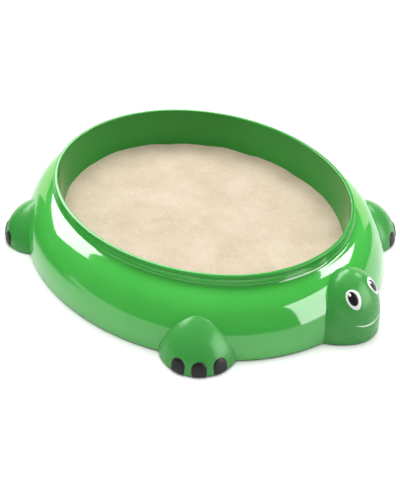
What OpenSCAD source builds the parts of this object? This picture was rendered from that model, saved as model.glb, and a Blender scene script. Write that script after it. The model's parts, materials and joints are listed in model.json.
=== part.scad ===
// Tabletop turtle sandbox: a glossy oval turtle body around a tub of sand,
// with a domed shell-shaped cover that lifts off and lies upside down beside it.
// The head points to -Y, +Z is up, and the origin is on the ground below the
// middle of the opening.

/* [Opening] */
// Length of the rim's outer edge, from the head end to the tail end
opening_length = 300; // [280:2:330]
// Width of the rim's outer edge, across the body
opening_width = 247; // [235:2:255]
// Height of the rim above the ground
rim_height = 62; // [60:0.2:64]
// Depth of loose sand in the tub
sand_depth = 16.4; // [8:0.2:24]

/* [Body shell] */
// How far the skirt flares out beyond the rim
flare = 32.9; // [31:0.1:35]
// Radius of the big bulge of the flank
flank_r = 61; // [59:0.25:63]
// Radius of the shoulder between the flank and the valley
shoulder_r = 30; // [28:0.5:32]
// Wall thickness of the body shell
shell_wall = 1.8; // [1.4:0.1:2.2]
// Wall thickness of the tub
tub_wall = 1.4; // [1.2:0.1:1.6]
// How much the tub's wall leans in, in degrees
tub_draft = 2.4; // [1:0.1:4]

/* [Head and feet] */
// Distance of the head's centre from the middle of the opening
head_reach = 174.8; // [170:0.2:180]
// Largest radius of the head
head_r = 28.8; // [26:0.2:31]
// Height of the head
head_height = 56; // [52:0.5:60]
// Distance of a foot's centre from the body's long and short centre lines
foot_reach = 109.6; // [107:0.2:112]
// Largest radius of a foot
foot_r = 34; // [31:0.5:36]
// Height of a foot where it disappears into the body
foot_height = 38; // [35:0.5:42]
// Wall thickness of the head and the feet
soft_wall = 2; // [1.5:0.1:2.5]

/* [Cover] */
// Height of the closed cover's crown above the rim
cover_rise = 45; // [40:1:50]
// Radius of the dome's curve
dome_r = 130; // [124:1:136]
// Wall thickness of the cover
cover_wall = 2; // [1.6:0.1:2.4]
// Gap between the cover's skirt and the rim
cover_gap = 1; // [0.8:0.1:1.4]
// How far apart the middles of the sandbox and the open cover are
cover_spacing = 360; // [350:2:420]

/* [Hidden] */
$fn = 96;
CORNERS = [[-1, -1], [1, -1], [-1, 1], [1, 1]];
CORNER_NAMES = ["front_right", "front_left", "rear_right", "rear_left"];
SIDES = [-1, 1];
SIDE_NAMES = ["right", "left"];

BODY_GREEN = [0.28, 0.70, 0.30];
SKIN_GREEN = [0.26, 0.60, 0.28];
SAND = [0.89, 0.81, 0.71];

// The rim line is an oval of four tangent arcs: two end arcs and two side arcs. Their
// centres and joints lie on 3-4-5 triangles, which makes every radius a plain number.
half_l = opening_length / 2;
half_w = opening_width / 2;
side_c = 2 * (half_l - half_w);
end_c = 0.75 * side_c;
side_r = half_w + side_c;
end_r = half_l - end_c;
split = atan2(3, 4);

// The point of the oval whose outward direction is a degrees from +X, moved out by o.
function on_side(a) = abs(cos(a)) > cos(split);
function arc_centre(a) = on_side(a) ? [-sign(cos(a)) * side_c, 0] : [0, sign(sin(a)) * end_c];
function arc_radius(a) = on_side(a) ? side_r : end_r;
function oval_point(a, o) = arc_centre(a) + (arc_radius(a) + o) * [cos(a), sin(a)];

// Flank of the body: a bulge, then a tighter shoulder, then the rim's collar.
ground_gap = 1;
flank_z = 2;
flank_x = flare - flank_r;
flank_turn = atan2(3, 4);
shoulder_x = flank_x + (flank_r - shoulder_r) * cos(flank_turn);
shoulder_z = flank_z + (flank_r - shoulder_r) * sin(flank_turn);
collar_x = -0.3;
fillet_r = 3.5;
valley_turn = acos((collar_x + fillet_r - shoulder_x) / (shoulder_r + fillet_r));
fillet_x = collar_x + fillet_r;
fillet_z = shoulder_z + (shoulder_r + fillet_r) * sin(valley_turn);
fill_in = -40;
top_in = shoulder_z + shoulder_r - shell_wall;
post_top = top_in + 0.2;

// The rim's rolled lip belongs to the tub and hooks over the collar.
lip_out = 0.4;
lip_in = -3.2;
lip_r = (lip_out - lip_in) / 2;
lip_skirt = 4.6;
collar_top = rim_height - 2 * lip_r - 0.1;
collar_in = lip_in + tub_wall + 0.1;

panel_z = 1.2;
panel_t = 2.4;
panel_gap = 1.6;
tub_z = panel_z + panel_t;
floor_t = 2;
sand_z = tub_z + floor_t;
sand_gap = 0.15;
function tub_in(z) = lip_in - (rim_height - z) * tan(tub_draft);

// Screw posts stand under the valley, between the tub and the shell.
post_x = 2.4;
post_r = 3.2;
pilot_r = 1.55;
pilot_l = 16;
boss_r = 4;
boss_pilot_l = 10;
post_angles = [for (q = [0 : 90 : 270], s = SIDES) q + (q % 180 == 0 ? 24 : 26) * s];

// One kind of screw throughout: a shank, a flat head and the holes that clear them.
screw_r = 1.5;
screw_l = 14;
screw_head_r = 3.4;
screw_head_h = 2;
screw_clear = 0.3;
sink_r = screw_head_r + 0.4;
sink_h = 1.2;

pad_r = 9;
pad_x = 12;
pad_sink = 0.8;
pad_gap = 0.2;

// A cut that runs past a face on each side, and pieces that run into each other.
past = 1;
overlap = 5;

// 2D wedge of a circle, between two directions.
module wedge(r, from, to) {
    intersection() {
        circle(r);
        polygon([[0, 0], for (a = [from, (from + to) / 2, to]) 2 * r * [cos(a), sin(a)]]);
    }
}

// The wedge of the plan that arc q fills. Neighbours share their 3-4-5 edges, or run a
// little into each other where weld is above 0.
module sector(q, weld = 0) {
    edge = opening_length * (q % 180 == 0 ? [4, 3] : [3, 4]);
    translate(arc_centre(q)) rotate(q) translate([-weld, 0]) polygon([[0, 0], [edge.x, -edge.y], edge]);
}

// Sweeps a profile round the oval. The profile's x is its distance outside the rim line.
module oval_sweep(weld = 0) {
    for (q = [0 : 90 : 270])
        intersection() {
            translate(arc_centre(q)) rotate(q + 180) rotate_extrude()
                translate([arc_radius(q), 0]) children();
            translate([0, 0, -past]) linear_extrude(opening_length) sector(q, weld);
        }
}

// The whole oval, moved out by o. Each arc's piece keeps to its own side of the middle.
module oval_2d(o) {
    for (q = [0 : 90 : 270])
        intersection() {
            translate(arc_centre(q)) circle(arc_radius(q) + o);
            sector(q);
            rotate(q) translate([-overlap, -opening_length]) square(2 * opening_length);
        }
}

// A flat oval plate whose edge is o outside the rim line.
module oval_plate(o, z0, z1) {
    translate([0, 0, z0]) linear_extrude(z1 - z0) oval_2d(o);
}

// The solid flank profile, shrunk by inset, filled inwards as far as fill_in.
module flank_profile(inset = 0) {
    translate([flank_x, flank_z]) wedge(flank_r - inset, 0, flank_turn);
    translate([shoulder_x, shoulder_z]) wedge(shoulder_r - inset, flank_turn, 90);
    polygon([
        [fill_in, ground_gap],
        [flare - inset - (flank_z - ground_gap), ground_gap],
        [flare - inset, flank_z],
        [flank_x, flank_z],
        [shoulder_x, shoulder_z],
        [shoulder_x, shoulder_z + shoulder_r - inset],
        [fill_in, shoulder_z + shoulder_r - inset]
    ]);
}

// Everything inside the body shell's outer surface, grown by gap, at the flanks.
module flank_envelope(gap = 0) {
    oval_sweep(weld = 0.002) flank_profile(-gap);
}

// Stands a child on the flank: its +X points straight out of the wall at direction a round
// the oval and tilt degrees up the bulge, and x = 0 is the outer surface.
module on_flank(a, tilt) {
    centre = arc_centre(a);
    translate([centre.x, centre.y, 0])
        rotate([0, 0, a])
            translate([arc_radius(a) + flank_x, 0, flank_z])
                rotate([0, -tilt, 0])
                    translate([flank_r, 0, 0])
                        children();
}

// A rod along +X, from x0 to x1.
module rod_x(r, x0, x1) {
    translate([x0, 0, 0]) rotate([0, 90, 0]) cylinder(r = r, h = x1 - x0);
}

// The head and the feet stand this far off the shell, and screws hold them to it.
skin_gap = 0.15;
wall_screw_l = 8.5;

// A screw driven outwards along +X, from inside the shell's wall.
module wall_screw(length) {
    head_x = -shell_wall - screw_clear;
    rod_x(screw_r, head_x, length);
    rod_x(screw_head_r, head_x - screw_head_h, head_x);
}

// The head's and the feet's fixings, as [direction round the oval, tilt up the bulge].
HEAD_FIXINGS = [[-96, 10], [-84, 10], [-90, 30]];
function foot_direction(c) = atan2(c.y * foot_reach, c.x * (foot_reach + side_c));
function foot_fixings(c) = [for (s = SIDES) [foot_direction(c) + 2.8 * s, 9]];
ALL_FIXINGS = concat(HEAD_FIXINGS, [for (c = CORNERS) each foot_fixings(c)]);

module body_shell() {
    color(BODY_GREEN)
        difference() {
            union() {
                oval_sweep() shell_profile();
                for (a = post_angles)
                    translate(concat(oval_point(a, post_x), tub_z))
                        cylinder(r = post_r, h = post_top - tub_z);
            }
            for (a = post_angles)
                translate(concat(oval_point(a, post_x), tub_z - past))
                    cylinder(r = pilot_r, h = pilot_l);
            for (f = ALL_FIXINGS)
                on_flank(f[0], f[1]) rod_x(screw_r + screw_clear, -shell_wall - past, past);
        }
}

module shell_profile() {
    difference() {
        union() {
            intersection() {
                flank_profile();
                translate([collar_in, 0]) square([2 * flare, rim_height]);
            }
            translate([collar_in, shoulder_z])
                square([collar_x - collar_in, collar_top - shoulder_z]);
            difference() {
                polygon([
                    [collar_x, top_in],
                    [shoulder_x + shoulder_r * cos(valley_turn), shoulder_z + shoulder_r * sin(valley_turn)],
                    [fillet_x, fillet_z],
                    [collar_x, fillet_z]
                ]);
                translate([fillet_x, fillet_z]) circle(fillet_r);
            }
        }
        intersection() {
            flank_profile(shell_wall);
            translate([fill_in, -past]) square([2 * flare - fill_in, top_in + past]);
        }
        translate([fill_in, -past]) square([flare - shell_wall - 1 - fill_in, flank_z + past]);
    }
}

module sand_tub() {
    color(BODY_GREEN)
        union() {
            oval_sweep() {
                polygon([
                    [tub_in(tub_z) - tub_wall, tub_z],
                    [tub_in(tub_z) + tub_wall, tub_z],
                    [lip_in + tub_wall, rim_height - lip_r],
                    [lip_in, rim_height - lip_r],
                    [tub_in(sand_z), sand_z],
                    [tub_in(sand_z) - tub_wall, sand_z]
                ]);
                translate([lip_in + lip_r, rim_height - lip_r]) circle(lip_r);
                translate([collar_x + 0.1, rim_height - lip_skirt])
                    square([lip_out - collar_x - 0.1, lip_skirt - lip_r]);
            }
            oval_plate(tub_in(tub_z), tub_z, sand_z);
        }
}

module base_panel() {
    color(BODY_GREEN)
        difference() {
            oval_plate(flare - shell_wall - panel_gap, panel_z, tub_z);
            for (a = post_angles)
                translate(concat(oval_point(a, post_x), 0)) {
                    cylinder(r = screw_r + screw_clear, h = tub_z + past);
                    cylinder(r = sink_r, h = panel_z + sink_h);
                }
            pad_places()
                translate([0, 0, -past])
                    cylinder(r = pad_r + pad_gap, h = panel_z + pad_sink + past);
        }
}

// The non-slip pads: one in the middle and eight round the edge.
module pad_places() {
    children();
    for (a = [0 : 45 : 315])
        translate(oval_point(a, pad_x)) children();
}

module base_pads() {
    color([0.2, 0.2, 0.2])
        pad_places() cylinder(r = pad_r, h = panel_z + pad_sink);
}

module base_screws() {
    color([0.7, 0.7, 0.72])
        for (a = post_angles)
            translate(concat(oval_point(a, post_x), 0)) {
                translate([0, 0, panel_z]) cylinder(r = screw_head_r, h = sink_h);
                translate([0, 0, panel_z + sink_h]) cylinder(r = screw_r, h = screw_l);
            }
}

// The sand follows the tub's wall, and a plate fills its middle.
module sand_fill() {
    edge = tub_in(sand_z) - sand_gap;
    sand_top = sand_z + sand_depth;
    color(SAND)
        union() {
            oval_sweep() polygon([
                [edge - 4 * overlap, sand_z],
                [edge, sand_z],
                [tub_in(sand_top) - sand_gap, sand_top],
                [edge - 4 * overlap, sand_top]
            ]);
            oval_plate(edge - 2 * overlap, sand_z, sand_top);
        }
}

// Half profile of a blunt dome: radius r at the ground, height h, and two exponents
// in full that set how full its shoulder and its top are.
function dome_edge(r, h, full, n = 14) = [
    for (i = [0 : n])
        let (z = h * sin(90 * i / n))
            [r * pow(max(0, 1 - pow(z / h, full[0])), 1 / full[1]), z]
];

module dome(r, h, full) {
    rotate_extrude()
        intersection() {
            polygon(concat([[0, 0]], dome_edge(r, h, full)));
            translate([0, ground_gap]) square([2 * r, 2 * h]);
        }
}

EGG = [2.62, 1.86];
NECK = [2.4, 1.7];
FOOT = [1.9, 1.5];

// The head is an upright egg, on a wider low dome where it grows out of the body.
neck_back = 12;
neck_wider = 9;
neck_lower = 8;
module head_form(inset = 0) {
    translate([0, -head_reach, 0])
        rotate(90) dome(head_r - inset, head_height - inset, EGG);
    translate([0, -head_reach + neck_back, 0])
        rotate(90) dome(head_r + neck_wider - inset, head_height - neck_lower - inset, NECK);
}

module head_shell() {
    color(SKIN_GREEN)
        difference() {
            union() {
                difference() {
                    head_form();
                    translate([0, 0, ground_gap]) head_form(soft_wall);
                }
                intersection() {
                    head_form(soft_wall / 2);
                    for (f = HEAD_FIXINGS)
                        on_flank(f[0], f[1]) rod_x(boss_r, -past, 2 * head_r);
                }
            }
            flank_envelope(skin_gap);
            for (f = HEAD_FIXINGS)
                on_flank(f[0], f[1]) rod_x(pilot_r, -past, boss_pilot_l);
        }
}

module head_screws() {
    color([0.7, 0.7, 0.72])
        for (f = HEAD_FIXINGS)
            on_flank(f[0], f[1]) wall_screw(wall_screw_l);
}

// A thin skin that lies on the head's egg, between two heights above its surface.
module head_skin(low, high) {
    difference() {
        translate([0, -head_reach, 0]) dome(head_r + high, head_height + high, EGG);
        translate([0, -head_reach, 0]) dome(head_r + low, head_height + low, EGG);
    }
}

// Looks out of the head: +Z points at the eye on side s (-1 is the turtle's right).
eye_turn = 38;
eye_lift = 44;
eye_rise = 22;
module eye_frame(s) {
    translate([0, -head_reach, eye_rise])
        rotate([0, 0, -90 + s * eye_turn])
            rotate([0, 90 - eye_lift, 0])
                children();
}

// The face is printed in layers, each between two heights above the head's surface.
WHITE_LAYER = [0.1, 0.5];
PUPIL_LAYER = [0.6, 0.9];
GLINT_LAYER = [1, 1.2];
eye_size = [6.6, 9];
pupil_size = [4, 6.4];
glint_r = 1.3;
glint_up = 3;
glint_in = 1.6;
reach_out = 60;

// An upright oval plug along +Z, half a wide and half b tall.
module oval_plug(size) {
    linear_extrude(reach_out) scale([size[1] / size[0], 1]) circle(size[0]);
}

module eye_white(s) {
    color("white")
        intersection() {
            head_skin(WHITE_LAYER[0], WHITE_LAYER[1]);
            eye_frame(s) oval_plug(eye_size);
        }
}

module eye_pupil(s) {
    color([0.08, 0.07, 0.08])
        intersection() {
            head_skin(PUPIL_LAYER[0], PUPIL_LAYER[1]);
            eye_frame(s) oval_plug(pupil_size);
        }
}

module eye_glint(s) {
    color("white")
        intersection() {
            head_skin(GLINT_LAYER[0], GLINT_LAYER[1]);
            eye_frame(s) translate([-glint_up, -s * glint_in, 0]) cylinder(r = glint_r, h = reach_out);
        }
}

// A curved line across the front of the head, low in the middle and high at its ends.
mouth_z = 19;
mouth_r = 44;
mouth_w = 1.2;
mouth_turn = 22;
module mouth_line() {
    color([0.75, 0.9, 0.7])
        intersection() {
            head_skin(WHITE_LAYER[0], WHITE_LAYER[1]);
            translate([0, -head_reach - head_r / 3, mouth_z + mouth_r])
                rotate([90, 0, 0])
                    rotate([0, 0, -90 - mouth_turn])
                        rotate_extrude(angle = 2 * mouth_turn)
                            translate([mouth_r - mouth_w / 2, 0]) square([mouth_w, reach_out]);
        }
}

module foot_form(c, grow = 0) {
    translate([c.x * foot_reach, c.y * foot_reach, 0])
        rotate(atan2(-c.y, -c.x)) dome(foot_r + grow, foot_height + grow, FOOT);
}

module foot(c) {
    color(SKIN_GREEN)
        difference() {
            union() {
                difference() {
                    foot_form(c);
                    translate([0, 0, ground_gap]) foot_form(c, -soft_wall);
                }
                intersection() {
                    foot_form(c, -soft_wall / 2);
                    for (f = foot_fixings(c))
                        on_flank(f[0], f[1]) rod_x(boss_r, -past, 2 * foot_r);
                }
            }
            flank_envelope(skin_gap);
            for (f = foot_fixings(c))
                on_flank(f[0], f[1]) rod_x(pilot_r, -past, boss_pilot_l);
        }
}

module foot_screws(c) {
    color([0.7, 0.7, 0.72])
        for (f = foot_fixings(c))
            on_flank(f[0], f[1]) wall_screw(wall_screw_l);
}

// Three nails on the toe of a foot, each a rounded plate that hugs the dome.
claw_w = 5.4;
claw_top = 13;
claw_fan = 31;
claw_gap = 0.1;
claw_t = 0.8;
module claws(c) {
    color([0.14, 0.12, 0.13])
        for (k = [-1 : 1])
            difference() {
                intersection() {
                    foot_form(c, claw_gap + claw_t);
                    translate([c.x * foot_reach, c.y * foot_reach, 0])
                        rotate([0, 0, atan2(c.y, c.x) + k * claw_fan])
                            translate([foot_r / 2, 0, 0])
                                rotate([90, 0, 90])
                                    linear_extrude(foot_r)
                                        claw_outline();
                }
                foot_form(c, claw_gap);
            }
}

module claw_outline() {
    translate([0, claw_top - claw_w]) circle(claw_w);
    translate([-claw_w, ground_gap]) square([2 * claw_w, claw_top - claw_w - ground_gap]);
}

// The cover: a skirt round the rim, a ledge that rests on the lip, and a dome with a
// flat-topped crown. Its form is drawn closed, then turned over beside the sandbox.
skirt_in = lip_out + cover_gap;
skirt_out = skirt_in + cover_wall;
skirt_z = rim_height - 7;
ledge_z = rim_height + 0.4;
ledge_t = 1.6;
crown_x = -96;
crown_z = rim_height + cover_rise;
dome_z = crown_z - dome_r;
scute_t = 1.2;
groove = 5;

// The dome's skin between two heights above its outer surface, out to its eave.
module dome_profile(low, high) {
    intersection() {
        difference() {
            translate([crown_x, dome_z]) circle(dome_r + high);
            translate([crown_x, dome_z]) circle(dome_r + low);
        }
        translate([crown_x, ledge_z]) square([skirt_in - crown_x, 2 * cover_rise]);
    }
    translate([crown_x - overlap, crown_z + low]) square([overlap, high - low]);
}

// The same skin over the whole cover. A thinner plate closes its crown.
crown_step = 0.2;
module dome_skin(low, high) {
    oval_sweep() dome_profile(low, high);
    oval_plate(crown_x - overlap / 2, crown_z + low + crown_step, crown_z + high - crown_step);
}

module cover_closed() {
    dome_skin(-cover_wall, 0);
    oval_sweep() {
        translate([skirt_in, skirt_z]) square([cover_wall, ledge_z - skirt_z]);
        translate([skirt_in, ledge_z]) wedge(cover_wall, 0, 90);
        translate([lip_in + lip_r, ledge_z]) square([skirt_in - lip_in - lip_r, ledge_t]);
    }
}

// A groove's centre line from a to b.
module groove_line(a, b) {
    run = b - a;
    translate(a) rotate(atan2(run.y, run.x)) translate([-groove / 2, -groove / 2])
        square([norm(run) + groove, groove]);
}

// Thirteen scutes: three six-sided ones down the spine, four down each side, one at each end.
scute_y = 60;
scute_half = scute_y / 2;
scute_edge = 17;
scute_point = 33;
scute_fan = 2.2;
scute_rim = -16;
module scutes_2d() {
    difference() {
        oval_2d(scute_rim);
        for (y = [-3 * scute_half : 2 * scute_half : 3 * scute_half])
            groove_line([-scute_edge, y], [scute_edge, y]);
        for (s = SIDES, k = [-1 : 1]) {
            point = [s * scute_point, k * scute_y];
            groove_line([s * scute_edge, k * scute_y - scute_half], point);
            groove_line([s * scute_edge, k * scute_y + scute_half], point);
            groove_line(point, [s * opening_width, scute_fan * k * scute_y]);
        }
        for (s = SIDES, e = SIDES)
            groove_line([s * scute_edge, 3 * e * scute_half], [s * 2 * scute_point, e * opening_length]);
    }
}

// The scutes stand a little above the dome.
module scutes() {
    intersection() {
        dome_skin(-cover_wall / 2, scute_t);
        translate([0, 0, ledge_z]) linear_extrude(2 * cover_rise) scutes_2d();
    }
}

// Half-round tabs on the two long sides, to lift the cover by.
tab_r = 13;
tab_t = 2.4;
module cover_tabs() {
    difference() {
        for (s = SIDES)
            translate([s * (half_w + skirt_out), 0, skirt_z]) cylinder(r = tab_r, h = tab_t);
        oval_plate(skirt_in + cover_wall / 2, skirt_z - past, skirt_z + tab_t + past);
    }
}

module cover_shell() {
    color(BODY_GREEN)
        cover_beside()
            union() {
                cover_closed();
                scutes();
                cover_tabs();
            }
}

// Turns the closed cover over by half a turn about its swing axis.
swing_z = (crown_z + scute_t) / 2;
swing_at = cover_spacing / 2 * [-cos(45), sin(45)];
module cover_beside() {
    translate([swing_at.x, swing_at.y, swing_z])
        rotate(a = -180, v = [1, 1, 0])
            translate([-swing_at.x, -swing_at.y, -swing_z])
                children();
}

body_shell();
sand_tub();
base_panel();
base_screws();
base_pads();
sand_fill();
head_shell();
head_screws();
mouth_line();
cover_shell();
for (i = [0, 1]) {
    eye_white(SIDES[i]);
    eye_pupil(SIDES[i]);
    eye_glint(SIDES[i]);
}
for (i = [0 : 3]) {
    foot(CORNERS[i]);
    claws(CORNERS[i]);
    foot_screws(CORNERS[i]);
}
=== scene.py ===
"""A tabletop turtle sandbox with its domed cover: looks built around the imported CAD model.

Lengths are in millimetres until a mesh is made, and mm() turns them into Blender's metres.
Plan curves are given by a direction a, in degrees from +X, and an offset o outside the rim line.
"""
import json
import math

import bpy
import numpy as np
from mathutils import Matrix, Vector, noise


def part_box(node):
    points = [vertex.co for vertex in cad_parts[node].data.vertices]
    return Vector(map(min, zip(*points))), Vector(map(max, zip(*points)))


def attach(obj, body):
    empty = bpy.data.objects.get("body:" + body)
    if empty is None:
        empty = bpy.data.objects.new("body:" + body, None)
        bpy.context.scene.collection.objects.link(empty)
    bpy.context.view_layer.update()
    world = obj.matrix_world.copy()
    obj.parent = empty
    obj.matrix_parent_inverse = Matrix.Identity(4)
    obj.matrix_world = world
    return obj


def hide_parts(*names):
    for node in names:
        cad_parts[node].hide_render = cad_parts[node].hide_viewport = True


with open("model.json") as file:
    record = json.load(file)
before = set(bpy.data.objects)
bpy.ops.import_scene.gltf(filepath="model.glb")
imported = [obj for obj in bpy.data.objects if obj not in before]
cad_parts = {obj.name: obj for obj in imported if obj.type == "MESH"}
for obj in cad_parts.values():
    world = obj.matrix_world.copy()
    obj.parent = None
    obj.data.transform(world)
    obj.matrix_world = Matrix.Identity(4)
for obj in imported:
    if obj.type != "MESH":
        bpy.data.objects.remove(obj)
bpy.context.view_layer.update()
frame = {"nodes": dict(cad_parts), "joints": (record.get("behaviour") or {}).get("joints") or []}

CORNERS = {"front_right": (-1, -1), "front_left": (1, -1), "rear_right": (-1, 1), "rear_left": (1, 1)}
SIDES = {"right": -1, "left": 1}

# ---------------------------------------------------------------- sizes, from the frame


def cad_box(node):
    """A CAD node's lowest and highest corners, in millimetres."""
    low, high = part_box(node)
    return np.array(low) * 1000, np.array(high) * 1000


LIP_OUT = 0.4
LIP_WIDTH = 3.6
LIP_SKIRT = 4.0
TUB_LOW, TUB_HIGH = cad_box("sand_tub")
RIM_Z = TUB_HIGH[2]
HALF_W = TUB_HIGH[0] - LIP_OUT
HALF_L = TUB_HIGH[1] - LIP_OUT
TUB_FLOOR = TUB_LOW[2]
TUB_WALL = 1.4
TUB_DRAFT = math.radians(2.4)
SAND_TOP = cad_box("sand_fill")[1][2]
SAND_LOW = cad_box("sand_fill")[0][2]

# The plan's support function: how far the rim line reaches in direction a.
REACH_2 = (HALF_W - HALF_L) / 2
REACH_4 = 0.048 * REACH_2
REACH_0 = (HALF_W + HALF_L) / 2 - REACH_4

# The body's flank: a big bulge, a tighter shoulder, a small fillet and the rim's collar.
FLARE = cad_box("body_shell")[1][0] - HALF_W
WALL = 1.8
GROUND_GAP = 1.0
FLANK_Z = 2.0
FLANK_R = 61.0
FLANK_X = FLARE - FLANK_R
SHOULDER_R = 30.0
SHOULDER_X = FLANK_X + 0.8 * (FLANK_R - SHOULDER_R)
SHOULDER_Z = FLANK_Z + 0.6 * (FLANK_R - SHOULDER_R)
FLANK_TURN = 36.87
COLLAR_X = -0.3
FILLET_R = 3.5
COLLAR_T = 1.4
COLLAR_LAP = 1.0

# The head and the feet: blunt domes, as in the CAD. A pair says how full a dome is.
HEAD_R = 28.8
HEAD_H = 56.0
HEAD_Y = cad_box("head_shell")[0][1] + HEAD_R
NECK_WIDER = 9.0
NECK_LOWER = 8.0
NECK_R = HEAD_R + NECK_WIDER
NECK_H = HEAD_H - NECK_LOWER
NECK_BACK = 12.0
EGG = (2.62, 1.86)
NECK = (2.4, 1.7)
FOOT = (1.9, 1.5)
FOOT_R = 34.0
FOOT_H = 38.0
FOOT_REACH = cad_box("foot_rear_left")[1][0] - FOOT_R
HEAD_INSET = 0.4
NECK_BLEND = 1.6
SINK_DEPTH = 0.9


def mm(p):
    """Millimetres to Blender's metres."""
    return [c / 1000 for c in p]


# ---------------------------------------------------------------- the oval plan


def reach(a):
    """The support function and its first derivative, at direction a in radians."""
    h = REACH_0 + REACH_2 * np.cos(2 * a) + REACH_4 * np.cos(4 * a)
    slope = -2 * REACH_2 * np.sin(2 * a) - 4 * REACH_4 * np.sin(4 * a)
    return h, slope


def plan(a, o):
    """The plan point whose outward direction is a, moved out by o."""
    h, slope = reach(a)
    return (h + o) * np.cos(a) - slope * np.sin(a), (h + o) * np.sin(a) + slope * np.cos(a)


def locate(x, y):
    """The inverse of plan(): the direction and the offset of a point."""
    a = np.arctan2(y, x)
    for _ in range(12):
        slope = reach(a)[1]
        along = -x * np.sin(a) + y * np.cos(a) - slope
        a = a + along / np.maximum(x * np.cos(a) + y * np.sin(a), 20)
    return a, x * np.cos(a) + y * np.sin(a) - reach(a)[0]


def flank_reach(z):
    """How far outside the rim line the body's outer surface is, at height z."""
    bulge = FLANK_X + np.sqrt(np.maximum(FLANK_R**2 - (z - FLANK_Z) ** 2, 0))
    shoulder = SHOULDER_X + np.sqrt(np.maximum(SHOULDER_R**2 - (z - SHOULDER_Z) ** 2, 0))
    joint_z = FLANK_Z + 0.6 * FLANK_R
    return np.where(z < joint_z, bulge, np.maximum(shoulder, COLLAR_X))


# ---------------------------------------------------------------- mesh helpers


def arc(cx, cy, r, start, end, steps):
    """Points of a circular arc, in degrees."""
    return [
        (cx + r * math.cos(math.radians(t)), cy + r * math.sin(math.radians(t)))
        for t in np.linspace(start, end, steps + 1)
    ]


def make_object(name, verts, faces, crease=35):
    """A smooth-shaded object from vertices in millimetres. Edges over crease degrees stay sharp."""
    mesh = bpy.data.meshes.new(name)
    mesh.from_pydata([mm(v) for v in verts], [], faces)
    mesh.validate()
    mesh.shade_smooth()
    mesh.set_sharp_from_angle(angle=math.radians(crease))
    piece = bpy.data.objects.new(name, mesh)
    bpy.context.scene.collection.objects.link(piece)
    return piece


def ring_faces(rings, count, closed):
    """Quads between neighbouring rings of count vertices each."""
    faces = []
    for i in range(rings if closed else rings - 1):
        j = (i + 1) % rings
        for k in range(count):
            m = (k + 1) % count
            faces.append((i * count + k, i * count + m, j * count + m, j * count + k))
    return faces


def loft(name, rings, closed=False, crease=35):
    """A surface through rings of equal length. An open one gets its two ends closed by fans."""
    count = len(rings[0])
    verts = [tuple(p) for ring in rings for p in ring]
    faces = ring_faces(len(rings), count, closed)
    if not closed:
        for ring, flip in ((0, True), (len(rings) - 1, False)):
            middle = np.mean(np.array(rings[ring]), axis=0)
            verts.append(tuple(middle))
            centre = len(verts) - 1
            for k in range(count):
                a, b = ring * count + k, ring * count + (k + 1) % count
                faces.append((b, a, centre) if flip else (a, b, centre))
    return make_object(name, verts, faces, crease)


def plan_ring(o, z, count, shrink=1.0):
    """A ring of the oval at offset o and height z, optionally drawn in towards the middle."""
    a = np.linspace(0, 2 * np.pi, count, endpoint=False)
    x, y = plan(a, o)
    return np.column_stack([x * shrink, y * shrink, np.full(count, float(z))])


def sweep(name, profile, count=320, closed=True, crease=35):
    """A profile of (offset, height) points, swept round the oval."""
    return loft(name, [plan_ring(o, z, count) for o, z in profile], closed, crease)


def set_out(piece, body, slot, material, *nodes):
    """Everything a finished piece needs: its body, its material and what it replaces. Its slot is not used.
    """
    piece.data.materials.clear()
    piece.data.materials.append(material)
    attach(piece, body)
    if nodes:
        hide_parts(*nodes)
    return piece


# ---------------------------------------------------------------- materials


DRIFT_SCALE = 14
WAVE_SCALE = 22
WEAR_SCALE = 160
GRAIN_SCALE = 900
WAVE_HEIGHT = 0.00012
SAND_CLUMP_SCALE = 240
SAND_GRAIN_SCALE = 1500


def node_material(name):
    """A new material with its node tree and its Principled shader."""
    material = bpy.data.materials.new(name)
    material.use_nodes = True
    tree = material.node_tree
    return material, tree, tree.nodes["Principled BSDF"]


def add_noise(tree, scale, detail=3.0, rough=0.5, distortion=0.0):
    """Noise in object coordinates. Its scale is in cycles a metre."""
    where = tree.nodes.new("ShaderNodeTexCoord")
    texture = tree.nodes.new("ShaderNodeTexNoise")
    texture.inputs["Scale"].default_value = scale
    texture.inputs["Detail"].default_value = detail
    texture.inputs["Roughness"].default_value = rough
    texture.inputs["Distortion"].default_value = distortion
    tree.links.new(where.outputs["Object"], texture.inputs["Vector"])
    return texture.outputs["Fac"]


def add_ramp(tree, value, stops):
    """A colour ramp from value, with stops of (place, colour)."""
    ramp = tree.nodes.new("ShaderNodeValToRGB")
    elements = ramp.color_ramp.elements
    while len(elements) < len(stops):
        elements.new(0.5)
    for element, (place, colour) in zip(elements, stops):
        element.position = place
        element.color = (*colour, 1)
    tree.links.new(value, ramp.inputs["Fac"])
    return ramp.outputs["Color"]


def add_range(tree, value, low, high, from_low=0.3, from_high=0.7):
    """Rescales value's usual span to low..high."""
    scaled = tree.nodes.new("ShaderNodeMapRange")
    scaled.inputs["From Min"].default_value = from_low
    scaled.inputs["From Max"].default_value = from_high
    scaled.inputs["To Min"].default_value = low
    scaled.inputs["To Max"].default_value = high
    tree.links.new(value, scaled.inputs["Value"])
    return scaled.outputs["Result"]


def add_bump(tree, height, distance, strength=1.0, normal=None):
    """A bump of the given height in metres, on top of an earlier one."""
    bump = tree.nodes.new("ShaderNodeBump")
    bump.inputs["Distance"].default_value = distance
    bump.inputs["Strength"].default_value = strength
    tree.links.new(height, bump.inputs["Height"])
    if normal is not None:
        tree.links.new(normal, bump.inputs["Normal"])
    return bump.outputs["Normal"]


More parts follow.
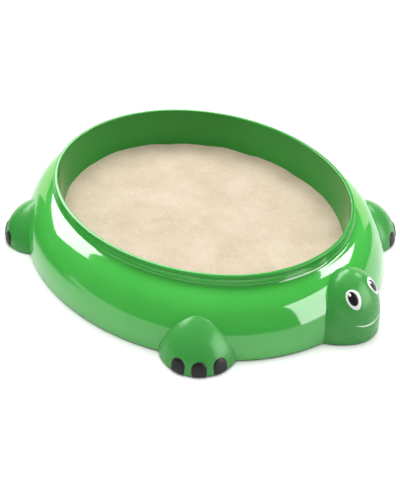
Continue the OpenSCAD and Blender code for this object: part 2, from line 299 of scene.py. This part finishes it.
def plastic(name, deep, light, rough, texture_height, coat=0.0, level=0.5):
    """Moulded plastic: a slow drift of colour, uneven gloss and a fine moulded texture."""
    material, tree, shader = node_material(name)
    drift = add_noise(tree, DRIFT_SCALE, 2.0, 0.5, 0.4)
    tree.links.new(add_ramp(tree, drift, [(0.3, deep), (0.7, light)]), shader.inputs["Base Color"])
    wear = add_noise(tree, WEAR_SCALE, 4.0, 0.6)
    tree.links.new(add_range(tree, wear, 0.9 * rough, 1.1 * rough), shader.inputs["Roughness"])
    waves = add_noise(tree, WAVE_SCALE, 2.0, 0.4)
    grain = add_noise(tree, GRAIN_SCALE, 3.0, 0.6)
    normal = add_bump(tree, waves, WAVE_HEIGHT, 0.5)
    normal = add_bump(tree, grain, texture_height, 0.6, normal)
    tree.links.new(normal, shader.inputs["Normal"])
    shader.inputs["IOR"].default_value = 1.5
    shader.inputs["Specular IOR Level"].default_value = level
    shader.inputs["Coat Weight"].default_value = coat
    shader.inputs["Coat Roughness"].default_value = 0.04
    return material


def sand_material():
    """Dry play sand: pale mixed grains with a few dark and a few bright ones."""
    material, tree, shader = node_material("dry_sand")
    patches = add_ramp(
        tree, add_noise(tree, 34, 5.0, 0.6),
        [(0.25, (0.58, 0.47, 0.36)), (0.52, (0.66, 0.55, 0.43)), (0.78, (0.72, 0.62, 0.50))],
    )
    grains = add_ramp(
        tree, add_noise(tree, SAND_GRAIN_SCALE, 2.0, 0.7),
        [(0.34, (0.62, 0.55, 0.48)), (0.50, (0.97, 0.95, 0.92)), (0.68, (1.0, 1.0, 1.0))],
    )
    mix = tree.nodes.new("ShaderNodeMix")
    mix.data_type = "RGBA"
    mix.blend_type = "MULTIPLY"
    mix.inputs["Factor"].default_value = 0.75
    tree.links.new(patches, mix.inputs["A"])
    tree.links.new(grains, mix.inputs["B"])
    tree.links.new(mix.outputs["Result"], shader.inputs["Base Color"])
    normal = add_bump(tree, add_noise(tree, SAND_CLUMP_SCALE, 4.0, 0.65), 0.0010, 0.6)
    normal = add_bump(tree, add_noise(tree, SAND_GRAIN_SCALE, 2.0, 0.7), 0.0006, 0.9, normal)
    tree.links.new(normal, shader.inputs["Normal"])
    shader.inputs["Roughness"].default_value = 0.92
    shader.inputs["Specular IOR Level"].default_value = 0.25
    return material


def steel_material():
    """Zinc-plated steel with a fine uneven tone."""
    material, tree, shader = node_material("zinc_plated_steel")
    tone = add_noise(tree, 500, 4.0, 0.6)
    tree.links.new(
        add_ramp(tree, tone, [(0.3, (0.48, 0.48, 0.49)), (0.7, (0.68, 0.67, 0.64))]),
        shader.inputs["Base Color"],
    )
    tree.links.new(add_range(tree, tone, 0.28, 0.42), shader.inputs["Roughness"])
    tree.links.new(add_bump(tree, add_noise(tree, 2500), 0.00003), shader.inputs["Normal"])
    shader.inputs["Metallic"].default_value = 1.0
    return material


def floor_material():
    """White studio paper, very slightly uneven."""
    material, tree, shader = node_material("studio_paper")
    tone = add_noise(tree, 5, 3.0)
    tree.links.new(
        add_ramp(tree, tone, [(0.3, (0.935, 0.935, 0.935)), (0.7, (0.955, 0.955, 0.955))]),
        shader.inputs["Base Color"],
    )
    shader.inputs["Roughness"].default_value = 0.95
    shader.inputs["Specular IOR Level"].default_value = 0.1
    return material


BODY_PLASTIC = plastic(
    "glossy_green_plastic", (0.056, 0.445, 0.060), (0.068, 0.485, 0.070), 0.08, 0.000008, coat=0.5)
# The tub's green is a darker copy of the body's green: painted shade for the tub's inner wall.
TUB_PLASTIC_PAINTED_SHADE = plastic(
    "tub_green_plastic_painted_shade", (0.036, 0.310, 0.042), (0.044, 0.350, 0.050), 0.12, 0.000008, level=0.25)
SKIN_PLASTIC = plastic(
    "soft_green_plastic", (0.048, 0.315, 0.056), (0.056, 0.345, 0.064), 0.28, 0.000012, level=0.30)
COVER_PLASTIC = plastic(
    "cover_green_plastic", (0.046, 0.385, 0.052), (0.058, 0.430, 0.062), 0.18, 0.000012, coat=0.2)
BASE_PLASTIC = plastic("base_green_plastic", (0.040, 0.300, 0.048), (0.052, 0.350, 0.058), 0.38, 0.00005)
CLAW_PLASTIC = plastic(
    "claw_black", (0.012, 0.010, 0.011), (0.019, 0.015, 0.016), 0.42, 0.000010, level=0.25)
EYE_WHITE = plastic("eye_white", (0.86, 0.88, 0.85), (0.92, 0.93, 0.91), 0.26, 0.000006)
EYE_BLACK = plastic(
    "eye_black", (0.008, 0.008, 0.009), (0.014, 0.013, 0.015), 0.26, 0.000006, level=0.3)
# The mouth is a real moulded line; its pale green is a painted highlight along it.
MOUTH_PAINTED_HIGHLIGHT = plastic("mouth_paint", (0.62, 0.84, 0.58), (0.72, 0.90, 0.68), 0.30, 0.000008)
PAD_RUBBER = plastic("pad_rubber", (0.020, 0.020, 0.021), (0.032, 0.032, 0.033), 0.72, 0.00008)
SAND = sand_material()
STEEL = steel_material()

# ---------------------------------------------------------------- body and tub


def body_profile():
    """The body shell's closed profile: outer skin up to the collar, then the inner skin down."""
    turn = math.degrees(math.acos((COLLAR_X + FILLET_R - SHOULDER_X) / (SHOULDER_R + FILLET_R)))
    fillet_z = SHOULDER_Z + (SHOULDER_R + FILLET_R) * math.sin(math.radians(turn))
    collar_in = COLLAR_X - COLLAR_T
    collar_top = RIM_Z - LIP_SKIRT + COLLAR_LAP
    outer = (
        arc(FLARE - 1, FLANK_Z, 1, -90, 0, 5)
        + arc(FLANK_X, FLANK_Z, FLANK_R, 0, FLANK_TURN, 26)[1:]
        + arc(SHOULDER_X, SHOULDER_Z, SHOULDER_R, FLANK_TURN, turn, 22)[1:]
        + arc(COLLAR_X + FILLET_R, fillet_z, FILLET_R, turn - 180, -180, 10)[1:]
        + [(COLLAR_X, collar_top)]
    )
    inner = (
        [(collar_in, collar_top), (collar_in, SHOULDER_Z + SHOULDER_R - WALL)]
        + arc(SHOULDER_X, SHOULDER_Z, SHOULDER_R - WALL, 84, FLANK_TURN, 10)
        + arc(FLANK_X, FLANK_Z, FLANK_R - WALL, FLANK_TURN, 0, 12)[1:]
        + [(FLARE - WALL, GROUND_GAP)]
    )
    return outer + inner


def make_body():
    """The glossy body shell."""
    body = sweep("turtle_body", body_profile(), count=360)
    set_out(body, "sandbox", "shell_plastic", BODY_PLASTIC, "body_shell")


def tub_inner(z):
    """The tub's inner wall leans in towards the floor."""
    return LIP_OUT - LIP_WIDTH - (RIM_Z - z) * math.tan(TUB_DRAFT)


def tub_profile():
    """From the middle of the tub's floor, up its inner wall, over the lip and down outside."""
    floor_z = TUB_FLOOR + 2
    lip_r = LIP_WIDTH / 2
    edge_r = 1.1
    inner_x = LIP_OUT - LIP_WIDTH
    skirt_z = RIM_Z - LIP_SKIRT
    wall_out = inner_x + TUB_WALL
    inner = [(tub_inner(floor_z) - 6, floor_z)]
    inner += [
        (tub_inner(floor_z) - 4 + x, floor_z + 4 + z)
        for x, z in arc(0, 0, 4, -90, 0, 6)
    ]
    wall = [(tub_inner(z), z) for z in np.linspace(floor_z + 8, RIM_Z - edge_r - 1, 8)]
    lip = (
        arc(inner_x + edge_r, RIM_Z - edge_r, edge_r, 180, 90, 6)
        + arc(LIP_OUT - edge_r, RIM_Z - edge_r, edge_r, 90, 0, 6)
        + [(LIP_OUT, RIM_Z - 2.0), (LIP_OUT - 0.15, skirt_z + 1.3)]
        + arc(LIP_OUT - 0.45, skirt_z + 0.45, 0.45, 45, -180, 8)
    )
    under = [
        (LIP_OUT - 0.9, skirt_z + 1.0),
        (LIP_OUT - 0.9, RIM_Z - lip_r),
        (wall_out, RIM_Z - lip_r - 0.6),
    ]
    outer = [(tub_inner(TUB_FLOOR + 3) + TUB_WALL, TUB_FLOOR + 3)]
    outer += arc(tub_inner(TUB_FLOOR) + TUB_WALL - 2, TUB_FLOOR + 2, 2, 0, -90, 4)
    return inner + wall + lip + under + outer


def make_tub():
    """The oval tub with its rolled lip."""
    profile = tub_profile()
    tub = sweep("sand_tub_moulding", profile, count=360, closed=False)
    set_out(tub, "sandbox", "shell_plastic", TUB_PLASTIC_PAINTED_SHADE, "sand_tub")


# ---------------------------------------------------------------- sand


# Dunes, swells, ripples and scuffs, each as its length, its place in the noise and its height.
SAND_WAVES = [
    (62, (3.1, 7.7, 0), 2.0),
    (27, (11.0, 2.0, 4.0), 1.3),
    (9, (5.0, 9.0, 1.0), 0.45),
    (3.2, (1.0, 4.0, 8.0), 0.14),
]
HEAP_WIDTH = 18
HEAP_HEIGHT = 2.0
HEAP_LEAN = 1.6


def sand_height(x, y, o):
    """Gentle dunes, smaller heaps and scuffs, with the sand drawn up a little at the wall."""
    p = Vector((x, y, 0))
    waves = sum(height * noise.noise(p / size + Vector(place)) for size, place, height in SAND_WAVES)
    heap = max(0.0, 1 + o / HEAP_WIDTH) ** 2 * (HEAP_HEIGHT + HEAP_LEAN * (x + y) / HALF_L)
    return waves + heap


def make_sand():
    """A closed body of sand: a displaced top of shrinking ovals, a side and a flat underside."""
    count = 420
    edge = tub_inner(SAND_TOP) - 0.05
    a = np.linspace(0, 2 * np.pi, count, endpoint=False)
    rings = [plan_ring(tub_inner(SAND_LOW) - 0.3, SAND_LOW, count)]
    for shrink in np.linspace(1, 0.02, 78):
        x, y = plan(a, edge)
        x, y = x * shrink, y * shrink
        o = locate(x, y)[1] if shrink > 0.8 else np.full(count, -30.0)
        z = [SAND_TOP - 0.6 + sand_height(*p) for p in zip(x, y, o)]
        rings.append(np.column_stack([x, y, z]))
    sand = loft("loose_sand", rings, crease=60)
    set_out(sand, "sandbox", "sand", SAND, "sand_fill")


# ---------------------------------------------------------------- head


def blunt(r, h, full, z):
    """Radius at height z of a blunt dome of radius r and height h, as full as full says."""
    return r * np.maximum(0, 1 - np.clip(z / h, 0, 1) ** full[0]) ** (1 / full[1])


def soft_max(a, b, width):
    """The larger of two values, blended where they are within width of each other."""
    gap = np.clip(0.5 + (a - b) / (2 * width), 0, 1)
    return b + (a - b) * gap + width * gap * (1 - gap)


def head_radius(beta, z):
    """Distance from the head's axis to its surface, in direction beta from straight ahead."""
    egg = blunt(HEAD_R, HEAD_H, EGG, z)
    wide = blunt(NECK_R, NECK_H, NECK, z)
    inside = wide**2 - (NECK_BACK * np.sin(beta)) ** 2
    neck = np.where(inside > 0, np.sqrt(np.maximum(inside, 0)) - NECK_BACK * np.cos(beta), 0)
    return soft_max(egg, neck, NECK_BLEND) - HEAD_INSET


def head_point(beta, z, lift=0.0):
    """A point of the head, raised by lift along the surface's outward direction."""
    step = 0.01
    r = head_radius(beta, z)
    slope_z = (head_radius(beta, z + 0.2) - head_radius(beta, z - 0.2)) / 0.4
    slope_b = (head_radius(beta + step, z) - head_radius(beta - step, z)) / (2 * step)
    radial = np.array([np.sin(beta), -np.cos(beta), 0.0])
    across = np.array([np.cos(beta), np.sin(beta), 0.0])
    normal = radial - across * slope_b / max(r, 1) - np.array([0, 0, 1.0]) * slope_z
    normal /= np.linalg.norm(normal)
    return np.array([0, HEAD_Y, z]) + radial * r + normal * lift


def press_out(points, depth=SINK_DEPTH):
    """Moves points that are deep inside the body out to just under its surface."""
    a, o = locate(points[:, 0], points[:, 1])
    limit = flank_reach(points[:, 2]) - depth
    deep = o < limit
    x, y = plan(a, limit)
    out = points.copy()
    out[deep, 0] = x[deep]
    out[deep, 1] = y[deep]
    return out


def make_head():
    """The head is lofted from heights that crowd together towards its top."""
    count = 220
    beta = np.linspace(0, 2 * np.pi, count, endpoint=False)
    rings = []
    for turn in np.linspace(0, 89.2, 70):
        z = GROUND_GAP + (HEAD_H - HEAD_INSET - GROUND_GAP) * math.sin(math.radians(turn))
        r = head_radius(beta, np.full(count, z))
        ring = np.column_stack([r * np.sin(beta), HEAD_Y - r * np.cos(beta), np.full(count, z)])
        rings.append(press_out(ring))
    head = loft("turtle_head", rings, crease=50)
    set_out(head, "sandbox", "skin_plastic", SKIN_PLASTIC, "head_shell")


# ---------------------------------------------------------------- skins on curved surfaces


def cushion(name, surface, outline, lift, rings=9, sink=0.3):
    """A thin cushion on a curved surface. surface(u, v, lift) gives a point, and outline a list
    of (u, v) round the edge, about a middle of (0, 0)."""
    grid = []
    for share in np.linspace(0.0, 1.0, rings + 1)[1:]:
        height = lift * (1 - share**6) ** 0.5 if share < 1 else 0.0
        grid.append([surface(u * share, v * share, height) for u, v in outline])
    grid.append([surface(u, v, -sink) for u, v in outline])
    return loft(name, grid[::-1], crease=60)


def oval_outline(half_u, half_v, lean, count=64, point=0.0):
    """An oval that leans over by lean degrees and, where point is above 0, narrows downwards."""
    out = []
    for t in np.linspace(0, 2 * np.pi, count, endpoint=False):
        u, v = half_u * math.cos(t), half_v * math.sin(t)
        u *= 1 + point * v / half_v
        turn = math.radians(lean)
        out.append((u * math.cos(turn) + v * math.sin(turn), -u * math.sin(turn) + v * math.cos(turn)))
    return out


def head_place(beta, z, u0=0.0, v0=0.0):
    """A function that lays (u, v) millimetres on the head about a direction and a height."""
    heights = np.linspace(1, HEAD_H - 0.6, 600)
    radii = blunt(HEAD_R, HEAD_H, EGG, heights)
    lengths = np.concatenate([[0], np.cumsum(np.hypot(np.diff(heights), np.diff(radii)))])
    start = np.interp(z, heights, lengths)

    def surface(u, v, lift):
        along = start + v + v0
        height = float(np.interp(along, lengths, heights))
        radius = float(np.interp(height, heights, radii))
        return head_point(math.radians(beta) + (u + u0) / radius, height, lift)

    return surface


# The face is turned a little to the turtle's right. Each part of an eye has its half width and
# half height, and stands a little higher than the part under it.
EYES = {
    "right": {"beta": -44, "z": 42, "lean": -26, "glint": (-3.8, 4.3)},
    "left": {"beta": 32, "z": 44, "lean": -4, "glint": (-2.4, 5.6)},
}
WHITE_SIZE = (5.8, 9.0)
WHITE_POINT = 0.22
WHITE_LIFT = 0.45
PUPIL_SIZE = (4.2, 6.7)
PUPIL_SHIFT = (-0.9, 1.1)
PUPIL_LIFT = 0.8
GLINT_SIZE = (1.3, 1.7)
GLINT_LIFT = 1.1
MOUTH_Z = 18.4
MOUTH_RISE = 2.2
MOUTH_HALF_TURN = 28.0
MOUTH_MIDDLE = -10.0


def make_eye(side):
    """The white, the pupil up and back in it, and a glint on the pupil's edge."""
    beta, z, lean = EYES[side]["beta"], EYES[side]["z"], EYES[side]["lean"]
    white = cushion(
        "eye_white_patch_" + side, head_place(beta, z),
        oval_outline(*WHITE_SIZE, lean, point=WHITE_POINT), WHITE_LIFT)
    pupil = cushion(
        "eye_pupil_patch_" + side, head_place(beta, z, *PUPIL_SHIFT),
        oval_outline(*PUPIL_SIZE, lean), PUPIL_LIFT)
    glint = cushion(
        "eye_glint_patch_" + side, head_place(beta, z, *EYES[side]["glint"]),
        oval_outline(*GLINT_SIZE, lean, 24), GLINT_LIFT, rings=5)
    set_out(white, "sandbox", "eye_white", EYE_WHITE, "eye_white_" + side)
    set_out(pupil, "sandbox", "eye_black", EYE_BLACK, "eye_pupil_" + side)
    set_out(glint, "sandbox", "eye_white", EYE_WHITE, "eye_glint_" + side)


def make_mouth():
    """A thin ribbon across the front of the head, tapered to both ends."""
    steps = 48
    around = 10
    rings = []
    for share in np.linspace(-1, 1, steps + 1):
        beta = math.radians(MOUTH_MIDDLE + MOUTH_HALF_TURN * share)
        z = MOUTH_Z + MOUTH_RISE * share**2
        width = 0.1 + 0.7 * (1 - share**2) ** 0.6
        ring = []
        for t in np.linspace(0, 2 * np.pi, around, endpoint=False):
            ring.append(head_point(beta, z + width * math.sin(t), 0.06 + 0.3 * width * math.cos(t)))
        rings.append(ring)
    # The ribbon's pale colour is a painted highlight along the moulded mouth line.
    mouth = loft("mouth_line_skin", rings, crease=80)
    set_out(mouth, "sandbox", "mouth_paint", MOUTH_PAINTED_HIGHLIGHT, "mouth_line")


# ---------------------------------------------------------------- feet


def foot_radius(z):
    """A foot's radius at height z."""
    return blunt(FOOT_R, FOOT_H, FOOT, z)


def foot_point(corner, turn, z, lift=0.0):
    """A point of a foot's dome, turn radians round from where its toes point."""
    cx, cy = corner
    heading = math.atan2(cy, cx) + turn
    slope = float(foot_radius(z + 0.1) - foot_radius(max(z - 0.1, 0))) / 0.2
    size = math.hypot(1, slope)
    r = float(foot_radius(z)) + lift / size
    return np.array([
        cx * FOOT_REACH + r * math.cos(heading),
        cy * FOOT_REACH + r * math.sin(heading),
        z - lift * slope / size,
    ])


def make_foot(name, corner):
    """A foot's dome, pressed out to the body's surface where it meets the body."""
    count = 160
    turns = np.linspace(0, 2 * np.pi, count, endpoint=False)
    rings = []
    for rise in np.linspace(0, 89, 50):
        z = GROUND_GAP + (FOOT_H - GROUND_GAP) * math.sin(math.radians(rise))
        ring = np.array([foot_point(corner, t, z) for t in turns])
        rings.append(press_out(ring))
    foot = loft("foot_" + name + "_dome", rings, crease=50)
    set_out(foot, "sandbox", "skin_plastic", SKIN_PLASTIC, "foot_" + name)


def claw_outline(half_width, height, count=56):
    """Round on top and square below, about its middle."""
    out = []
    for t in np.linspace(0, 2 * np.pi, count, endpoint=False):
        power = 1.0 if math.sin(t) > 0 else 0.28
        u = half_width * math.copysign(abs(math.cos(t)) ** power, math.cos(t))
        v = height / 2 * math.copysign(abs(math.sin(t)) ** power, math.sin(t))
        out.append((u, v))
    return out


CLAW_FAN = 31
CLAW_HALF = 6.3
CLAW_TALL = 13.4
CLAW_LIFT = 0.8


def make_claws(name, corner):
    """Three claws as one piece: rounded nails that hug the toe."""
    middle_z = GROUND_GAP - 0.2 + CLAW_TALL / 2
    pieces = []
    for k in (-1, 0, 1):
        def surface(u, v, lift, k=k):
            z = max(middle_z + v, 0.6)
            turn = math.radians(CLAW_FAN * k) + u / float(foot_radius(z))
            return foot_point(corner, turn, z, lift)
        pieces.append(cushion("claw", surface, claw_outline(CLAW_HALF, CLAW_TALL), CLAW_LIFT))
    claws = join("claws_" + name + "_nails", pieces)
    set_out(claws, "sandbox", "claw_black", CLAW_PLASTIC, "claws_" + name)


def join(name, pieces):
    """One object from several meshes in the shared frame."""
    verts, faces = [], []
    for piece in pieces:
        start = len(verts)
        verts += [tuple(1000 * c for c in v.co) for v in piece.data.vertices]
        faces += [tuple(start + i for i in f.vertices) for f in piece.data.polygons]
        bpy.data.objects.remove(piece)
    return make_object(name, verts, faces, crease=60)


# ---------------------------------------------------------------- cover

COVER_GAP = 1.0
COVER_WALL = 2.0
COVER_RISE = 45.0
DOME_R = 130.0
CROWN_X = -96.0
CROWN_Z = RIM_Z + COVER_RISE
DOME_Z = CROWN_Z - DOME_R
GROOVE = 5.0
SKIRT_IN = LIP_OUT + COVER_GAP
SKIRT_OUT = SKIRT_IN + COVER_WALL
SKIRT_Z = RIM_Z - 7
LEDGE_Z = RIM_Z + 0.4
LEDGE_T = 1.6
SCUTE_Y = 60.0
SCUTE_HALF = 30.0
SCUTE_EDGE = 17.0
SCUTE_POINT = 33.0
SCUTE_RIM = -16.0
SCUTE_STEPS = [(0.8, 0, 2.2), (0.4, 7.5, 9.5)]
TAB_R = 13.0
TAB_T = 2.4
TAB_ROOT = 1.2


def groove_lines():
    """The grooves between the scutes, as pairs of plan points."""
    lines = [((-SCUTE_EDGE, y), (SCUTE_EDGE, y)) for y in SCUTE_HALF * np.array([-3, -1, 1, 3])]
    for s in (-1, 1):
        for k in (-1, 0, 1):
            point = (s * SCUTE_POINT, k * SCUTE_Y)
            lines.append(((s * SCUTE_EDGE, k * SCUTE_Y - SCUTE_HALF), point))
            lines.append(((s * SCUTE_EDGE, k * SCUTE_Y + SCUTE_HALF), point))
            lines.append((point, (s * 2 * HALF_W, 2.2 * k * SCUTE_Y)))
        for e in (-1, 1):
            lines.append(((s * SCUTE_EDGE, 3 * e * SCUTE_HALF), (s * 2 * SCUTE_POINT, 2 * e * HALF_L)))
    return lines


def from_grooves(x, y):
    """Distance in plan from points to the nearest groove line."""
    best = np.full(x.shape, 1e9)
    for (ax, ay), (bx, by) in groove_lines():
        dx, dy = bx - ax, by - ay
        t = np.clip(((x - ax) * dx + (y - ay) * dy) / (dx * dx + dy * dy), 0, 1)
        best = np.minimum(best, np.hypot(x - ax - t * dx, y - ay - t * dy))
    return best


def smooth_step(value, low, high):
    """A smooth rise from 0 at low to 1 at high."""
    t = np.clip((value - low) / (high - low), 0, 1)
    return t * t * (3 - 2 * t)


def scute_rise(x, y, o):
    """How far a scute stands above the dome: a rounded edge, then a low inner terrace."""
    inside = np.minimum(from_grooves(x, y) - GROOVE / 2, SCUTE_RIM - o)
    return sum(height * smooth_step(inside, start, end) for height, start, end in SCUTE_STEPS)


def dome_height(o, r=DOME_R):
    """Height of the cover's dome at offset o, for its outer or its inner radius."""
    return DOME_Z + np.sqrt(np.maximum(r**2 - np.maximum(o - CROWN_X, 0) ** 2, 0))


def cover_rings(count):
    """The closed cover's rings, from the middle of its inner side round to the middle outside."""
    inner_r = DOME_R - COVER_WALL
    rings = [plan_ring(CROWN_X, CROWN_Z - COVER_WALL, count, t) for t in np.linspace(0.03, 1, 8)]
    for o in np.linspace(CROWN_X, -1.8, 40)[1:]:
        rings.append(plan_ring(o, dome_height(o, inner_r), count))
    edge = [(-1.4, LEDGE_Z + LEDGE_T), (-1.4, LEDGE_Z), (SKIRT_IN - 0.3, LEDGE_Z), (SKIRT_IN, LEDGE_Z - 0.3)]
    edge += arc(SKIRT_IN + 0.5, SKIRT_Z + 0.5, 0.5, 180, 270, 3)
    edge += arc(SKIRT_OUT - 0.5, SKIRT_Z + 0.5, 0.5, -90, 0, 3)
    edge += [(SKIRT_OUT, LEDGE_Z - 0.6)]
    edge += arc(SKIRT_IN, LEDGE_Z, COVER_WALL, 0, 60, 5)
    rings += [plan_ring(o, z, count) for o, z in edge]
    a = np.linspace(0, 2 * np.pi, count, endpoint=False)
    for o in np.linspace(0.6, CROWN_X, 84):
        x, y = plan(a, o)
        z = dome_height(o) + scute_rise(x, y, o)
        out = (o - CROWN_X) / DOME_R * scute_rise(x, y, o)
        x, y = plan(a, o + out)
        rings.append(np.column_stack([x, y, z]))
    for t in np.linspace(1, 0.02, 34)[1:]:
        x, y = plan(a, CROWN_X)
        x, y = x * t, y * t
        rings.append(np.column_stack([x, y, CROWN_Z + scute_rise(x, y, CROWN_X)]))
    return rings


def turned_over():
    """The half turn that takes the closed cover to where it lies beside the sandbox."""
    joint = frame["joints"][0]
    pivot = Vector(joint["pos_m"])
    turn = Matrix.Rotation(-math.pi, 4, Vector(joint["axis"]))
    return Matrix.Translation(pivot) @ turn @ Matrix.Translation(-pivot)


def make_tab(side, sign):
    """A half-round tab with rounded edges that grows out of the cover's skirt."""
    rounded = [(0.6, 0.0), (0.18, 0.18), (0.0, 0.6)]
    rings = rounded + [(inset, TAB_T - z) for inset, z in rounded[::-1]]
    loops = []
    for inset, z in rings:
        loop = []
        for t in np.linspace(0, 2 * np.pi, 72, endpoint=False):
            x = HALF_W + SKIRT_OUT + max((TAB_R - inset) * math.cos(t), -TAB_ROOT)
            loop.append((sign * x, sign * (TAB_R - inset) * math.sin(t), SKIRT_Z + z))
        loops.append(loop)
    return loft("cover_tab_" + side, loops, crease=50)


def make_cover():
    """The cover, made closed and then turned over to where it lies at rest."""
    cover = loft("domed_cover", cover_rings(600), crease=50)
    cover.data.transform(turned_over())
    set_out(cover, "cover", "shell_plastic", COVER_PLASTIC, "cover_shell")
    for side, sign in SIDES.items():
        tab = make_tab(side, sign)
        tab.data.transform(turned_over())
        set_out(tab, "cover", "shell_plastic", COVER_PLASTIC)


# ---------------------------------------------------------------- carried-over CAD nodes


def dress_cad():
    """The hidden fixings and the base keep their CAD shapes and get real materials."""
    dress = {"base_panel": BASE_PLASTIC, "base_pads": PAD_RUBBER, "base_screws": STEEL, "head_screws": STEEL}
    for name in CORNERS:
        dress["foot_screws_" + name] = STEEL
    for node, material in dress.items():
        mesh = frame["nodes"][node].data
        mesh.materials.clear()
        mesh.materials.append(material)


# ---------------------------------------------------------------- camera, floor and light

FOCUS = Vector((-0.0122, -0.0120, 0.0))
CAMERA_AZIMUTH = 44.7
CAMERA_ELEVATION = 37.83
CAMERA_DISTANCE = 0.7663
CAMERA_LENS = 58.9
FLOOR_SIZE = 80
WORLD_STRENGTH = 0.10

# Name, azimuth, elevation, size, power and distance. The soft lights make no reflections, and
# the panels do nothing else.
SOFT_LIGHTS = [
    ("overhead", 45, 76, (1.5, 1.5), 8.5, 1.6),
    ("right_side", -42, 38, (0.9, 0.9), 5, 1.4),
    ("left_side", 132, 38, (0.9, 0.9), 5, 1.4),
    ("front", -130, 50, (0.9, 0.9), 2.5, 1.4),
]
PANELS = [
    ("backdrop", 45, 14, (4.4, 1.1), 22, 2.2),
    ("left_panel", 79, 42, (1.5, 0.50), 26, 1.24),
    ("right_panel", -16, 46, (0.41, 0.42), 6.7, 1.27),
    ("near_panel", -73, 19.3, (0.89, 0.93), 18, 1.24),
]
BACKDROP_COLOUR = (1.0, 0.92, 0.70)


def aim(obj, target):
    """Turns a camera or light to face a point."""
    obj.rotation_euler = (Vector(target) - obj.location).to_track_quat("-Z", "Y").to_euler()


def make_camera():
    """The camera at the photograph's viewing angle."""
    data = bpy.data.cameras.new("camera")
    data.lens = CAMERA_LENS
    data.sensor_width = 36
    data.clip_start = 0.02
    camera = bpy.data.objects.new("camera", data)
    bpy.context.scene.collection.objects.link(camera)
    across, up = math.radians(CAMERA_AZIMUTH), math.radians(CAMERA_ELEVATION)
    away = Vector((-math.sin(across) * math.cos(up), -math.cos(across) * math.cos(up), math.sin(up)))
    camera.location = FOCUS + CAMERA_DISTANCE * away
    aim(camera, FOCUS)
    bpy.context.scene.camera = camera


def softbox(name, azimuth, elevation, size, power, distance, glossy):
    """A rectangular light that faces the sandbox, azimuth degrees round from +X."""
    data = bpy.data.lights.new(name, "AREA")
    data.shape = "RECTANGLE"
    data.size, data.size_y = size
    data.energy = power
    data.color = BACKDROP_COLOUR if name == "backdrop" else (1, 1, 1)
    light = bpy.data.objects.new(name, data)
    across, up = math.radians(azimuth), math.radians(elevation)
    light.location = distance * Vector(
        (math.cos(across) * math.cos(up), math.sin(across) * math.cos(up), math.sin(up)))
    aim(light, (0, 0, 0.04))
    light.visible_glossy = glossy
    light.visible_diffuse = not glossy
    bpy.context.scene.collection.objects.link(light)


def soft_sun(azimuth, elevation, power):
    """A wide soft sun, which keeps the paper evenly pale out to the horizon."""
    data = bpy.data.lights.new("soft_sun", "SUN")
    data.energy = power
    data.angle = math.radians(60)
    sun = bpy.data.objects.new("soft_sun", data)
    sun.rotation_euler = (0, math.radians(90 - elevation), math.radians(azimuth))
    sun.visible_glossy = False
    bpy.context.scene.collection.objects.link(sun)


def make_studio():
    """White paper under a wide sun and soft lights, with crisp panels for the gloss."""
    bpy.ops.mesh.primitive_plane_add(size=FLOOR_SIZE)
    floor = bpy.context.object
    floor.name = "studio_floor"
    floor.data.materials.append(floor_material())
    world = bpy.data.worlds.new("studio")
    bpy.context.scene.world = world
    world.use_nodes = True
    background = world.node_tree.nodes["Background"]
    background.inputs["Color"].default_value = (1, 1, 1, 1)
    background.inputs["Strength"].default_value = WORLD_STRENGTH
    soft_sun(45, 72, 2.6)
    for light in SOFT_LIGHTS:
        softbox(*light, glossy=False)
    for panel in PANELS:
        softbox(*panel, glossy=True)
    bpy.context.scene.view_settings.view_transform = "Standard"


# ---------------------------------------------------------------- build

make_camera()
make_studio()
make_body()
make_tub()
make_sand()
make_head()
for side in SIDES:
    make_eye(side)
make_mouth()
for corner_name, corner in CORNERS.items():
    make_foot(corner_name, corner)
    make_claws(corner_name, corner)
make_cover()
dress_cad()

bpy.context.view_layer.update()
